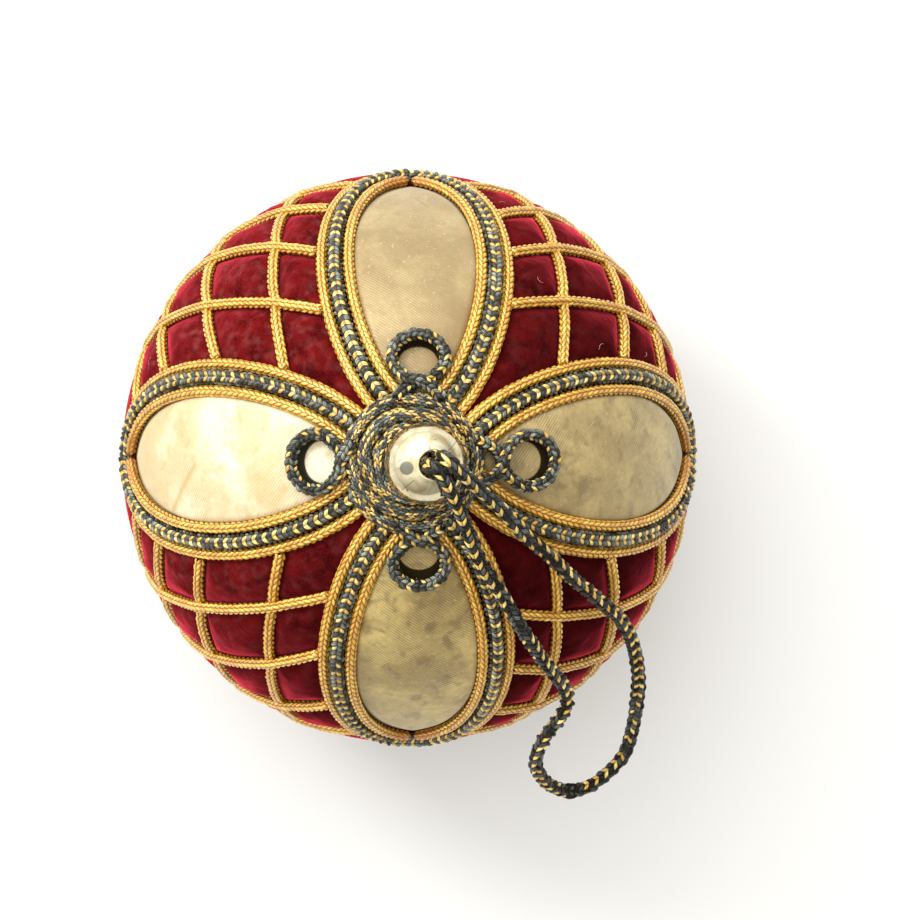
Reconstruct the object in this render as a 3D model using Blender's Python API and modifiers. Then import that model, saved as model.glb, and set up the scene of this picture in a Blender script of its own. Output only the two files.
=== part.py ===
"""Corded velvet ball ornament.

A velvet-covered ball, about 80 mm across over its cords, with four satin petals round its top. Each
petal is edged by three cords laid side by side: gold, grey-gold braid, gold. Gold cords cross between
the petals and go on below as round festoons. A boss of wound braid sits on the pole under a metal bead,
a small loop of braid lies on the inner end of each petal, and a long loop of braid comes out of the
bead's hole and hangs over the ball's shoulder.

Metres, +Z up, the origin under the ball's centre on the surface it rests on. Everything is modelled
round the ball's centre, and an empty at that height carries it.
"""
import math

import bmesh
import bpy
from mathutils import Matrix, Vector

# Driving dimensions, in metres
BALL_R = 0.0385
FLAT_R = 0.0065
GAP = 0.0003
GOLD_D = 0.0013
BRAID_D = 0.0018
CORD_STEP = 0.00185
SATIN_T = 0.0010
BOSS_R = 0.0092
BOSS_X = -0.0008
BEAD_R = 0.0053
BEAD_X = 0.0007
BEAD_Z = 0.0439
BEAD_LEAN = 10
HOLE_R = 0.0013
LOOP_R = 0.0031
HANGING_D = 0.0018

# Directions on the ball are given as two angles, in degrees: along the petal's middle line down from
# the pole, and across it to the left.
PETAL_ROOT = 8.0
ROUND_TIP = 0.6
PETALS = (
    # name, heading, tip, half width, satin's root
    ("east", 1.0, 81.0, 16.0, 13.8),
    ("north", 90.0, 80.4, 15.6, 15.2),
    ("west", 179.5, 81.0, 16.0, 16.8),
    ("south", 270.5, 80.4, 15.6, 15.2),
)
EDGE_CORDS = (
    # name, steps out from the middle cord, diameter
    ("inner_gold", -1, GOLD_D),
    ("grey_braid", 0, BRAID_D),
    ("outer_gold", 1, GOLD_D),
)
# The crossing cords go round the tip of a petal as a long festoon: a great circle above the ball's
# equator on each side, and a round bottom below it. They were laid by hand, so the two sides differ.
FESTOONS = (
    # petal's name, number, then for its left and its right side the azimuth at the equator and the
    # angle from the pole at which it meets the next petal's middle line, and the depth of its bottom
    ("east", 1, (20.9, 27.1), (20.8, 25.6), 24.0),
    ("east", 2, (37.0, 36.0), (34.3, 37.1), 34.0),
    ("east", 3, (54.3, 43.5), (48.3, 52.4), 44.0),
    ("east", 4, (65.6, 64.6), (65.6, 64.6), 54.0),
    ("north", 1, (21.3, 20.7), (20.5, 24.2), 24.0),
    ("north", 2, (38.8, 30.6), (35.5, 37.2), 34.0),
    ("north", 3, (54.5, 43.8), (44.7, 54.7), 44.0),
    ("north", 4, (65.6, 64.6), (65.6, 64.6), 54.0),
    ("west", 1, (24.2, 20.3), (23.5, 24.6), 24.0),
    ("west", 2, (38.4, 29.5), (37.6, 35.6), 34.0),
    ("west", 3, (53.0, 44.5), (49.1, 51.7), 44.0),
    ("west", 4, (65.6, 64.6), (65.6, 64.6), 54.0),
    ("south", 1, (20.6, 22.0), (22.2, 21.4), 24.0),
    ("south", 2, (35.5, 32.4), (35.1, 38.9), 34.0),
    ("south", 3, (51.2, 50.0), (52.4, 50.5), 44.0),
    ("south", 4, (65.6, 64.6), (65.6, 64.6), 54.0),
)
HOP = 0.00185
HOP_REACH = 0.0038
HOP_FOOT = 0.0024
PLAIN_STEP = 0.0050

# Centre heights of what lies on the ball, from the ball's centre
GOLD_LEVEL = BALL_R + GAP + GOLD_D / 2
BRAID_LEVEL = BALL_R + GAP + BRAID_D / 2
SATIN_TOP = BALL_R + GAP + SATIN_T
SMALL_LOOP_LEVEL = SATIN_TOP + GAP + BRAID_D / 2
REST_HEIGHT = math.sqrt(BALL_R ** 2 - FLAT_R ** 2)
METRES_PER_DEGREE = math.radians(1) * GOLD_LEVEL

# How finely the solids are faceted
BALL_SIDES = 42
TURNED_SIDES = 28
EDGE_POINTS = 25
FESTOON_POINTS = 25
SMALL_LOOP_POINTS = 16
HANGING_POINTS = 44

COLOURS = {
    # name: red, green, blue, roughness, metallic
    "velvet": (0.28, 0.02, 0.05, 0.9, 0.0),
    "satin": (0.56, 0.48, 0.31, 0.45, 0.0),
    "gold_cord": (0.72, 0.43, 0.12, 0.45, 0.2),
    "grey_braid": (0.12, 0.15, 0.15, 0.6, 0.1),
    "hanging_braid": (0.08, 0.10, 0.10, 0.6, 0.1),
    "bead_metal": (0.78, 0.70, 0.52, 0.15, 1.0),
}


def clear_scene():
    """Empty the file's scene."""
    for thing in list(bpy.data.objects):
        bpy.data.objects.remove(thing, do_unlink=True)


def make_collection(name):
    """A collection under the scene's own."""
    group = bpy.data.collections.new(name)
    bpy.context.scene.collection.children.link(group)
    return group


def make_material(name):
    """A Principled material from the table of colours."""
    red, green, blue, roughness, metallic = COLOURS[name]
    material = bpy.data.materials.new(name)
    material.use_nodes = True
    shader = material.node_tree.nodes["Principled BSDF"]
    shader.inputs["Base Color"].default_value = (red, green, blue, 1)
    shader.inputs["Roughness"].default_value = roughness
    shader.inputs["Metallic"].default_value = metallic
    return material


def place(thing, material):
    """Put an object in the ornament's collection, on the ball's centre, in its material."""
    ornament.objects.link(thing)
    thing.parent = ball_centre
    thing.data.materials.append(materials[material])
    return thing


def direction(along, across, heading):
    """The unit vector at two angles of a petal whose middle line heads this way."""
    a, c, h = math.radians(along), math.radians(across), math.radians(heading)
    out, left = math.cos(c) * math.sin(a), math.sin(c)
    return Vector((out * math.cos(h) - left * math.sin(h),
                   out * math.sin(h) + left * math.cos(h),
                   math.cos(c) * math.cos(a)))


def lengths_along(points):
    """The length of a run of points up to each of them."""
    lengths = [0.0]
    for before, after in zip(points, points[1:]):
        lengths.append(lengths[-1] + (after - before).length)
    return lengths


def read_at(points, marks):
    """The points that lie at these lengths, in rising order, along a run."""
    lengths = lengths_along(points)
    result, i = [], 0
    for mark in marks:
        while i < len(points) - 2 and lengths[i + 1] < mark:
            i += 1
        result.append(points[i].lerp(points[i + 1], (mark - lengths[i]) / (lengths[i + 1] - lengths[i])))
    return result


def read_evenly(points, count):
    """A run of points read again at even steps."""
    total = lengths_along(points)[-1]
    return read_at(points, [total * k / (count - 1) for k in range(count)])


def read_with_hops(points, rises):
    """A run read at the top and the two feet of each of its hops, and at plain steps between them."""
    lengths = lengths_along(points)
    total = lengths[-1]
    tops = [lengths[i] for i in range(1, len(points) - 1)
            if rises[i] > HOP / 2 and rises[i - 1] <= rises[i] > rises[i + 1]]
    marks = [0.0]
    for k, top in enumerate(tops):
        before = tops[k - 1] if k else -total
        after = tops[k + 1] if k < len(tops) - 1 else 2 * total
        marks.append(top - min(HOP_FOOT, (top - before) / 2))
        marks.append(top)
        marks.append(top + min(HOP_FOOT, (after - top) / 2))
    marks = sorted(mark for mark in marks if 0 <= mark < total - 0.4 * HOP_FOOT) + [total]
    filled = [marks[0]]
    for mark in marks[1:]:
        span = mark - filled[-1]
        if span < 0.2 * HOP_FOOT:
            continue
        parts = max(1, round(span / PLAIN_STEP))
        start = filled[-1]
        filled += [start + span * part / parts for part in range(1, parts + 1)]
    return read_at(points, filled)


def cord(name, points, diameter, material, roundness=1):
    """A round cord along a run of points, as a curve with filled ends."""
    curve = bpy.data.curves.new(name, "CURVE")
    curve.dimensions = "3D"
    curve.bevel_depth = diameter / 2
    curve.bevel_resolution = roundness
    curve.use_fill_caps = True
    spline = curve.splines.new("POLY")
    spline.points.add(len(points) - 1)
    for spot, point in zip(spline.points, points):
        spot.co = (*point, 1)
    return place(bpy.data.objects.new(name, curve), material)


def mesh_object(name, bm, material):
    """A finished bmesh as an object of the ornament."""
    mesh = bpy.data.meshes.new(name)
    bm.to_mesh(mesh)
    bm.free()
    mesh.shade_smooth()
    mesh.set_sharp_from_angle(angle=math.radians(40))
    return place(bpy.data.objects.new(name, mesh), material)


def make_ball():
    """The velvet ball, cut off flat where it rests."""
    bm = bmesh.new()
    bmesh.ops.create_uvsphere(bm, u_segments=BALL_SIDES, v_segments=BALL_SIDES // 2, radius=BALL_R)
    below = bmesh.ops.bisect_plane(bm, geom=bm.verts[:] + bm.edges[:] + bm.faces[:], dist=1e-6,
                                   plane_co=(0, 0, -REST_HEIGHT), plane_no=(0, 0, -1), clear_outer=True)
    rim = [edge for edge in below["geom_cut"] if isinstance(edge, bmesh.types.BMEdge)]
    bmesh.ops.contextual_create(bm, geom=rim)
    bmesh.ops.recalc_face_normals(bm, faces=bm.faces[:])
    return mesh_object("velvet_ball", bm, "velvet")


def petal_outline(tip, half_width, steps_out):
    """A petal's edge from its left root round the tip to its right root, as pairs of angles.

    The middle cord follows a teardrop, and the others lie whole cord steps in or out from it.
    """
    count = 240
    middle = []
    for i in range(count + 1):
        t = i / count
        wave = math.sin(2 * math.pi * t)
        along = PETAL_ROOT + (tip - PETAL_ROOT) * math.sin(math.pi * t) ** 2
        across = half_width * math.copysign(abs(wave) ** (2 * ROUND_TIP), wave)
        middle.append(Vector((along, across)))
    shift = steps_out * CORD_STEP / METRES_PER_DEGREE
    outline = []
    for i in range(1, count):
        run = (middle[i + 1] - middle[i - 1]).normalized()
        outline.append(middle[i] + shift * Vector((-run.y, run.x)))
    return outline


def clear_of_boss(points, margin):
    """The points of a run that lie outside the boss, with room for the cord's own end."""
    axis = Vector((BOSS_X, 0))
    return [p for p in points if (p.xy - axis).length > BOSS_R + margin]


def petal_edges():
    """The three cords round each petal; returns the middle lines of the outer ones."""
    outer = {}
    for name, heading, tip, half_width, satin_root in PETALS:
        for cord_name, steps_out, diameter in EDGE_CORDS:
            level = BALL_R + GAP + diameter / 2
            run = [level * direction(along, across, heading)
                   for along, across in petal_outline(tip, half_width, steps_out)]
            run = clear_of_boss(run, 0.0009)
            if steps_out == 1:
                outer[name] = run
            material = "grey_braid" if cord_name == "grey_braid" else "gold_cord"
            cord(f"{name}_{cord_name}", read_evenly(run, EDGE_POINTS), diameter, material)
    return outer


def satin_petals():
    """The satin inside each petal's cords, a thin sheet on the ball with a small cut end at its root."""
    rows, columns = 12, 4
    least_half_width = 0.9
    inset = (CORD_STEP + GOLD_D / 2 + 2 * GAP) / METRES_PER_DEGREE
    for name, heading, tip, half_width, root in PETALS:
        length = tip - PETAL_ROOT
        end = tip - 1.25 * inset
        bm = bmesh.new()
        bmesh.ops.create_grid(bm, x_segments=rows, y_segments=columns, size=1)
        for vert in bm.verts:
            along = root + (end - root) * (vert.co.x + 1) / 2
            s = (along - PETAL_ROOT) / length
            bulge = 4 * s * (1 - s)
            edge = half_width * bulge ** ROUND_TIP
            # The edge's turn against the middle line is the derivative of its half width.
            turn = ROUND_TIP * edge * 4 * (1 - 2 * s) / bulge / length
            width = max(edge - inset * math.hypot(1, turn), least_half_width)
            vert.co = (BALL_R + GAP) * direction(along, vert.co.y * width, heading)
        bmesh.ops.recalc_face_normals(bm, faces=bm.faces[:])
        if bm.faces[:][0].normal.dot(bm.faces[:][0].calc_center_median()) < 0:
            bmesh.ops.reverse_faces(bm, faces=bm.faces[:])
        sheet = mesh_object(f"{name}_satin", bm, "satin")
        shell = sheet.modifiers.new("thickness", "SOLIDIFY")
        shell.thickness = SATIN_T
        shell.offset = 1


def festoon_side(azimuth, from_pole, depth):
    """One side of a crossing cord, from its bottom up and over, as pairs of azimuth and latitude."""
    steep = math.tan(math.radians(90 - from_pole)) / math.cos(math.radians(azimuth))
    plain_depth = azimuth * steep / 2
    side = []
    for i in range(121):
        t = i / 120
        latitude = -plain_depth * (1 - t * t) - (depth - plain_depth) * (1 - t * t) ** 2
        side.append((azimuth * t, latitude))
    for i in range(1, 141):
        past = 0.5 * i
        side.append((azimuth + past, math.degrees(math.atan(steep * math.sin(math.radians(past))))))
    return side


def festoon(heading, left, right, depth):
    """One crossing cord's middle line, from over the pole side round below the petal and up again."""
    way = [(-a, b) for a, b in reversed(festoon_side(*right, depth)[1:])] + festoon_side(*left, depth)
    return [GOLD_LEVEL * direction(90 - b, 0, heading + a) for a, b in way]


def between_petals(run, outer):
    """The stretch of a festoon that stays clear of the petals' outer cords, on both sides.

    A cord that ends aslant needs more room than one that ends square, for the corner of its end.
    """
    edges = [point for line in outer.values() for point in line]

    def free(i, step):
        nearest = min(edges, key=lambda spot: (spot - run[i]).length)
        apart = nearest - run[i]
        heading = (run[i] - run[i - step]).normalized()
        slant = math.sqrt(max(1 - heading.dot(apart.normalized()) ** 2, 0))
        return apart.length > GOLD_D / 2 + 1.4 * GAP + slant * GOLD_D / 2

    first = last = len(run) // 2
    while first > 0 and free(first - 1, -1):
        first -= 1
    while last < len(run) - 1 and free(last + 1, 1):
        last += 1
    return run[first:last + 1]


def crossing_cords(outer):
    """Four festoons round each petal; those of the east and west hop over the others."""
    headings = {row[0]: round(row[1] / 90) * 90 for row in PETALS}
    runs = {}
    for name, number, left, right, depth in FESTOONS:
        run = festoon(headings[name], left, right, depth)
        runs[name, number] = between_petals(run, outer)
    below = [run for (name, number), run in runs.items() if name in ("north", "south")]
    for (name, number), run in runs.items():
        if name in ("east", "west"):
            near = [min((point - spot).length for line in below for spot in line) for point in run]
            rises = [HOP * math.cos(math.pi / 2 * min(apart / HOP_REACH, 1)) ** 2 for apart in near]
            raised = [point * (1 + rise / point.length) for point, rise in zip(run, rises)]
            points = read_with_hops(raised, rises)
        else:
            points = read_evenly(run, FESTOON_POINTS)
        cord(f"{name}_festoon_{number}", points, GOLD_D, "gold_cord")


def turned(name, profile, material, shift):
    """A solid turned round the upright axis from a profile that runs down its outer side."""
    bm = bmesh.new()
    verts = [bm.verts.new((radius, 0, height)) for radius, height in profile]
    for one, two in zip(verts, verts[1:]):
        bm.edges.new((one, two))
    piece = mesh_object(name, bm, material)
    piece.location.x = shift
    spin = piece.modifiers.new("turn", "SCREW")
    spin.angle = 2 * math.pi
    spin.steps = TURNED_SIDES
    spin.render_steps = TURNED_SIDES
    spin.use_merge_vertices = True
    spin.merge_threshold = 0.00001
    spin.use_normal_calculate = False
    return piece


def make_boss():
    """The boss of wound braid: rounds that rise toward the bead, on a hollow seat over the ball."""
    thread = BRAID_D / 2 + 0.0001
    rounds = (
        # middle radius, middle height
        (0.0043, 0.0402),
        (0.00625, 0.03985),
        (0.0082, 0.0391),
    )
    profile = [(0, rounds[0][1] + 0.6 * thread), (rounds[0][0] - 0.8 * thread, rounds[0][1] + 0.6 * thread)]
    for radius, height in rounds:
        for turn in (60, 15, -30):
            profile.append((radius - thread * math.sin(math.radians(turn)),
                            height + thread * math.cos(math.radians(turn))))
    profile.append((BOSS_R, rounds[-1][1] - 0.0002))
    for radius in (BOSS_R, 0.7 * BOSS_R, 0.35 * BOSS_R, 0):
        nearest = max(radius - abs(BOSS_X), 0)
        profile.append((radius, math.sqrt((BALL_R + GAP) ** 2 - nearest ** 2)))
    return turned("wound_boss", profile, "grey_braid", BOSS_X)


def make_bead():
    """The metal bead: round, its foot set in the boss, leaning a little, dimpled round its hole."""
    flattening = 0.89
    foot = -0.0018
    collar = 0.0023
    lip = flattening * math.sqrt(BEAD_R ** 2 - collar ** 2)
    first = math.asin(collar / BEAD_R)
    last = math.acos(foot / (flattening * BEAD_R))
    profile = [(HOLE_R, foot), (HOLE_R, lip - 0.0004), (collar, lip)]
    steps = 7
    for i in range(1, steps + 1):
        turn = first + (last - first) * i / steps
        profile.append((BEAD_R * math.sin(turn), flattening * BEAD_R * math.cos(turn)))
    profile.append((HOLE_R, foot))
    bead = turned("metal_bead", profile, "bead_metal", BEAD_X)
    bead.location.z = BEAD_Z
    bead.rotation_euler.y = math.radians(BEAD_LEAN)


def small_loops():
    """A small open ring of braid on the inner end of each petal, its ends against the boss."""
    rings = (
        # petal's name, distance of the ring's middle from the pole
        ("east", 0.0142),
        ("north", 0.0138),
        ("west", 0.0139),
        ("south", 0.0133),
    )
    headings = {row[0]: row[1] for row in PETALS}
    level = SMALL_LOOP_LEVEL
    for name, middle in rings:
        half = [(middle + LOOP_R * math.cos(turn), LOOP_R * math.sin(turn))
                for turn in (math.radians(3 * i) for i in range(1, 51))]
        boss_rim = BOSS_R + BOSS_X * math.cos(math.radians(headings[name]))
        if half[-1][0] > boss_rim + 2 * BRAID_D / 2:
            half.append((boss_rim + BRAID_D / 2, 0.65 * BRAID_D))
        flat = [(out, -left) for out, left in reversed(half)] + half
        run = [level * direction(math.degrees(out / level), math.degrees(left / level), headings[name])
               for out, left in flat]
        run = clear_of_boss(run, 0.00085)
        cord(f"{name}_small_loop", read_evenly(run, SMALL_LOOP_POINTS), BRAID_D, "grey_braid")


HANGING_ROUTE = (
    # x, y, z from the ball's centre
    (0.0008, -0.0001, 0.0489),
    (0.0013, -0.0005, 0.0503),
    (0.0023, -0.0013, 0.0504),
    (0.0039, -0.0040, 0.0487),
    (0.0055, -0.0074, 0.0460),
    (0.0069, -0.0107, 0.0435),
    (0.0083, -0.0136, 0.0414),
    (0.0104, -0.0164, 0.0390),
    (0.0135, -0.0215, 0.0347),
    (0.0157, -0.0247, 0.0314),
    (0.0180, -0.0277, 0.0278),
    (0.0201, -0.0302, 0.0243),
    (0.0208, -0.0327, 0.0215),
    (0.0199, -0.0350, 0.0197),
    (0.0184, -0.0373, 0.0179),
    (0.0173, -0.0399, 0.0155),
    (0.0174, -0.0426, 0.0120),
    (0.0193, -0.0452, 0.0076),
    (0.0226, -0.0467, 0.0040),
    (0.0259, -0.0460, 0.0027),
    (0.0288, -0.0435, 0.0035),
    (0.0304, -0.0411, 0.0050),
    (0.0311, -0.0371, 0.0087),
    (0.0312, -0.0336, 0.0122),
    (0.0311, -0.0301, 0.0158),
    (0.0303, -0.0267, 0.0195),
    (0.0291, -0.0235, 0.0230),
    (0.0272, -0.0208, 0.0266),
    (0.0250, -0.0190, 0.0295),
    (0.0227, -0.0170, 0.0322),
    (0.0207, -0.0155, 0.0343),
    (0.0170, -0.0121, 0.0380),
    (0.0146, -0.0101, 0.0403),
    (0.0123, -0.0078, 0.0423),
    (0.0099, -0.0054, 0.0445),
    (0.0073, -0.0032, 0.0469),
    (0.0051, -0.0011, 0.0491),
    (0.0031, 0.0006, 0.0504),
    (0.0025, 0.0009, 0.0489),
)


def smooth_run(points, steps):
    """A smooth curve through a run of points: each stretch is a Catmull-Rom cubic."""
    spots = [Vector(p) for p in points]
    spots = [2 * spots[0] - spots[1]] + spots + [2 * spots[-1] - spots[-2]]
    result = []
    for a, b, c, d in zip(spots, spots[1:], spots[2:], spots[3:]):
        for i in range(steps):
            t = i / steps
            result.append(b + 0.5 * t * ((c - a) + t * ((2 * a - 5 * b + 4 * c - d)
                                                         + t * (3 * b - a - 3 * c + d))))
    result.append(spots[-2])
    return result


def hanging_loop():
    """The long loop of braid out of the bead, over the shoulder of the ball and round again."""
    run = smooth_run(HANGING_ROUTE, 10)
    cord("hanging_loop", read_evenly(run, HANGING_POINTS), HANGING_D, "hanging_braid", roundness=2)


clear_scene()
ornament = make_collection("corded velvet ball")
materials = {name: make_material(name) for name in COLOURS}
ball_centre = bpy.data.objects.new("ball_centre", None)
ball_centre.matrix_world = Matrix.Translation((0, 0, REST_HEIGHT))
ornament.objects.link(ball_centre)
make_ball()
satin_petals()
crossing_cords(petal_edges())
make_boss()
make_bead()
small_loops()
hanging_loop()
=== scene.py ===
# %% [markdown]
# # A corded velvet ball
# The ornament is a padded ball in crimson velvet. Four satin petals lie round its top, each edged by
# three cords side by side. More gold cords cross between the petals. On the pole sit a boss of wound
# braid, four small rings and a metal bead with a long loop of braid.
#
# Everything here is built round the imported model, so that each piece lies where its solid lies. The
# sizes repeat the part's own, in metres, and the origin is on the surface under the ball.

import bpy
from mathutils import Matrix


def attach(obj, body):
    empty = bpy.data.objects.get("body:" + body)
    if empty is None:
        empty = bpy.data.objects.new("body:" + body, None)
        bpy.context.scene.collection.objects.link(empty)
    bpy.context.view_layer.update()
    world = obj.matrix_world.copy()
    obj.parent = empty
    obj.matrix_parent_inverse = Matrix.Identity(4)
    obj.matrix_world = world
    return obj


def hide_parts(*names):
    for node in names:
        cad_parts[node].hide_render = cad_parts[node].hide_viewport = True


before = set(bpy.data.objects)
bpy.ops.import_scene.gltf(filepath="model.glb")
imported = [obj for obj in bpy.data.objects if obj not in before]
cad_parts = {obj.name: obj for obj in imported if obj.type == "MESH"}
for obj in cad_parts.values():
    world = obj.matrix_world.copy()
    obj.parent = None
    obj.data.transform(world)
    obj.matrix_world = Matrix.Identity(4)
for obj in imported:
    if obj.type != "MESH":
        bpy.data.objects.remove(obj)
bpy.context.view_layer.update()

import math
import random

import bmesh
import bpy
import numpy as np
from mathutils import Matrix, Vector
from mathutils.kdtree import KDTree


def put_in_scene(name, data):
    """A new object that holds this mesh, light or camera, linked to the scene."""
    made = bpy.data.objects.new(name, data)
    bpy.context.scene.collection.objects.link(made)
    return made


print("solids in the frame:", len(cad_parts))

# %% [markdown]
# ## The camera
# The photograph looks down on the pole from about half a metre, a little from the left and from
# behind. A long lens keeps the round ball round. The ball isn't in the middle of the picture, and a
# small shift of the lens says so without turning the camera.

# %% Camera
BALL_R = 0.0385
FLAT_R = 0.0065
REST_HEIGHT = math.sqrt(BALL_R ** 2 - FLAT_R ** 2)
centre = np.array([0, 0, REST_HEIGHT])

lens = bpy.data.cameras.new("camera")
lens.sensor_width = 36
lens.lens = 133.36
lens.shift_x = 0.0576
lens.shift_y = -0.0027
camera = put_in_scene("camera", lens)
CAMERA_AWAY = 0.480
right, up, back = (0.99925, 0, 0.0387), (0.00069, 0.99984, -0.01774), (-0.03869, 0.01775, 0.99909)
stand = Vector(back) * CAMERA_AWAY + Vector(centre)
camera.matrix_world = Matrix.Translation(stand) @ Matrix((right, up, back)).transposed().to_4x4()
bpy.context.scene.camera = camera
print("camera stands at", [round(x, 3) for x in stand])

# %% [markdown]
# ## Helpers for nodes
# Every finish is a small tree of nodes. A few short helpers keep such a tree readable: they make a node
# and join its inputs, do arithmetic, mix colours and make noise.

# %% Node helpers
def wire(tree, kind, inputs=None, **settings):
    """A node with these settings, its inputs joined to sockets or set to values."""
    made = tree.nodes.new(kind)
    for key, value in settings.items():
        setattr(made, key, value)
    for key, value in (inputs or {}).items():
        if isinstance(value, bpy.types.NodeSocket):
            tree.links.new(value, made.inputs[key])
        else:
            made.inputs[key].default_value = value
    return made


def calc(tree, operation, *values):
    """The result of one arithmetic step."""
    return wire(tree, "ShaderNodeMath", dict(enumerate(values)), operation=operation).outputs[0]


def times(tree, one, two):
    """One value times another."""
    return calc(tree, "MULTIPLY", one, two)


def vector(tree, operation, *values):
    """The result of one step with vectors, which is a plain number for a distance or a product."""
    made = wire(tree, "ShaderNodeVectorMath", dict(enumerate(values)), operation=operation)
    return made.outputs["Value" if operation in ("DISTANCE", "DOT_PRODUCT", "LENGTH") else "Vector"]


def mixed(tree, share, one, two):
    """A colour between two others."""
    return wire(tree, "ShaderNodeMix", {0: share, 6: one, 7: two}, data_type="RGBA").outputs[2]


def eased(tree, value, low, high, start=0.0, end=1.0):
    """A value taken smoothly from one range to another."""
    return wire(tree, "ShaderNodeMapRange", {"Value": value, "From Min": low, "From Max": high,
                                             "To Min": start, "To Max": end},
                interpolation_type="SMOOTHSTEP").outputs[0]


def object_spot(tree):
    """The place on the ornament, in metres from its origin."""
    return wire(tree, "ShaderNodeTexCoord").outputs["Object"]


def piece_uv(tree):
    """The place on the piece's own UV map."""
    return wire(tree, "ShaderNodeUVMap", uv_map="UVMap").outputs[0]


def speckle(tree, spot, size, detail=2.0, distortion=0.0):
    """Noise whose lumps are about this many metres across."""
    return wire(tree, "ShaderNodeTexNoise", {"Vector": spot, "Scale": 1 / size, "Detail": detail,
                                             "Distortion": distortion}).outputs[0]


def new_group(name, takes, gives):
    """An empty shader group with named inputs and outputs."""
    group = bpy.data.node_groups.new(name, "ShaderNodeTree")
    for label, kind, value in takes:
        socket = group.interface.new_socket(label, in_out="INPUT", socket_type="NodeSocket" + kind)
        if value is not None:
            socket.default_value = value
    for label, kind in gives:
        group.interface.new_socket(label, in_out="OUTPUT", socket_type="NodeSocket" + kind)
    return group, group.nodes.new("NodeGroupInput"), group.nodes.new("NodeGroupOutput")


def use(tree, group, inputs):
    """The outputs of a shader group placed in a tree."""
    return wire(tree, "ShaderNodeGroup", inputs, node_tree=group).outputs


def new_finish(name, **constants):
    """A material with its Principled shader, whose plain values are set on the shader itself."""
    finish = bpy.data.materials.new(name)
    finish.use_nodes = True
    shader = finish.node_tree.nodes["Principled BSDF"]
    for key, value in constants.items():
        shader.inputs[key.replace("_", " ")].default_value = value
    return finish, finish.node_tree, shader


def dress(tree, shader, colour, height, strength, depth):
    """The shader's colour, and a bump of this strength and depth from a height."""
    bump = wire(tree, "ShaderNodeBump", {"Height": height, "Strength": strength, "Distance": depth})
    tree.links.new(colour, shader.inputs["Base Color"])
    tree.links.new(bump.outputs[0], shader.inputs["Normal"])


print("node helpers ready")

# %% [markdown]
# ## The braid group
# All the cords are round braids: bundles of thread go round both ways and pass over and under each
# other. From outside that shows as columns of short slanting stitches, which lean left and right in
# turn. A cord's UV map counts columns across and stitches along, so this group can tell from it where
# a stitch begins, which one it is, and how its threads lie.

# %% Braid group
def make_braid_group():
    """Stitch height, groove, a number for each stitch, and threads, from a cord's UV map."""
    g, given, out = new_group(
        "braid stitches", [("Spot", "Vector", None), ("Stagger", "Float", 0), ("Threads", "Float", 4)],
        [(label, "Float") for label in ("Height", "Groove", "Chance", "Other Chance", "Turn", "Thread",
                                        "Along", "Column")])
    spot = wire(g, "ShaderNodeSeparateXYZ", {0: given.outputs["Spot"]})
    column = calc(g, "FLOOR", spot.outputs[0])
    offset = times(g, calc(g, "FLOORED_MODULO", column, 2.0), given.outputs["Stagger"])
    distance = calc(g, "ADD", spot.outputs[1], offset)
    number = calc(g, "FLOOR", distance)
    across = calc(g, "SUBTRACT", times(g, calc(g, "FRACT", spot.outputs[0]), 2.0), 1.0)
    place = calc(g, "SUBTRACT", times(g, calc(g, "FRACT", distance), 2.0), 1.0)
    round_across = calc(g, "SQRT", calc(g, "SUBTRACT", 1.0, times(g, across, across)))
    round_along = calc(g, "SQRT", calc(g, "SUBTRACT", 1.0, times(g, place, place)))
    height = times(g, round_across, round_along)
    cell = wire(g, "ShaderNodeCombineXYZ", {0: column, 1: number})
    chance = wire(g, "ShaderNodeTexWhiteNoise", {"Vector": cell.outputs[0]}, noise_dimensions="3D")
    other = wire(g, "ShaderNodeSeparateXYZ", {0: chance.outputs[1]})
    wave = calc(g, "SINE", times(g, times(g, distance, given.outputs["Threads"]),
                                2 * math.pi))
    groove = eased(g, height, 0.25, 0.90, 1.0, 0.0)
    turn = calc(g, "FLOORED_MODULO", number, 2.0)
    thread = times(g, calc(g, "ADD", wave, 1.0), 0.5)
    for socket, value in zip(out.inputs, (height, groove, chance.outputs[0], other.outputs[1], turn, thread,
                                          place, column)):
        g.links.new(value, socket)
    return g


braid_group = make_braid_group()
print("braid group has", len(braid_group.nodes), "nodes")

# %% [markdown]
# ## Line marks
# Scratches on the bead and creases in the satin are thin lines between two points. One group turns
# the distance from such a line into a soft mask.

# %% Line mark group
def make_line_group():
    """A mask that is 1 on the line between two points and falls to 0 at its width."""
    g, given, out = new_group(
        "line mark",
        [("Spot", "Vector", None), ("Start", "Vector", None), ("End", "Vector", None),
         ("Width", "Float", 0.0002)],
        [("Mask", "Float")])
    run = vector(g, "SUBTRACT", given.outputs["End"], given.outputs["Start"])
    reach = vector(g, "SUBTRACT", given.outputs["Spot"], given.outputs["Start"])
    share = calc(g, "DIVIDE", vector(g, "DOT_PRODUCT", reach, run), vector(g, "DOT_PRODUCT", run, run))
    share = wire(g, "ShaderNodeClamp", {0: share}).outputs[0]
    foot = wire(g, "ShaderNodeVectorMath", {0: run, "Scale": share}, operation="SCALE").outputs[0]
    away = vector(g, "LENGTH", vector(g, "SUBTRACT", reach, foot))
    mask = calc(g, "SUBTRACT", 1.0, calc(g, "DIVIDE", away, given.outputs["Width"]))
    g.links.new(wire(g, "ShaderNodeClamp", {0: mask}).outputs[0], out.inputs["Mask"])
    return g


line_group = make_line_group()
print("line group ready")

# %% [markdown]
# ## Gold cord
# The cord is of yellow silk with a metal-like shine: bright on the crown of each stitch, and orange
# brown in the grooves as painted shade. The painted groove shade comes from the same stitch pattern as
# the relief. At a petal's tip the two ends of the inner cord are painted plain brown as shade, and a
# painted shadow makes it dark where they meet.

# %% Gold cord finish
STITCH_BUMP = 0.7, 0.00014  # strength and depth


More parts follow.
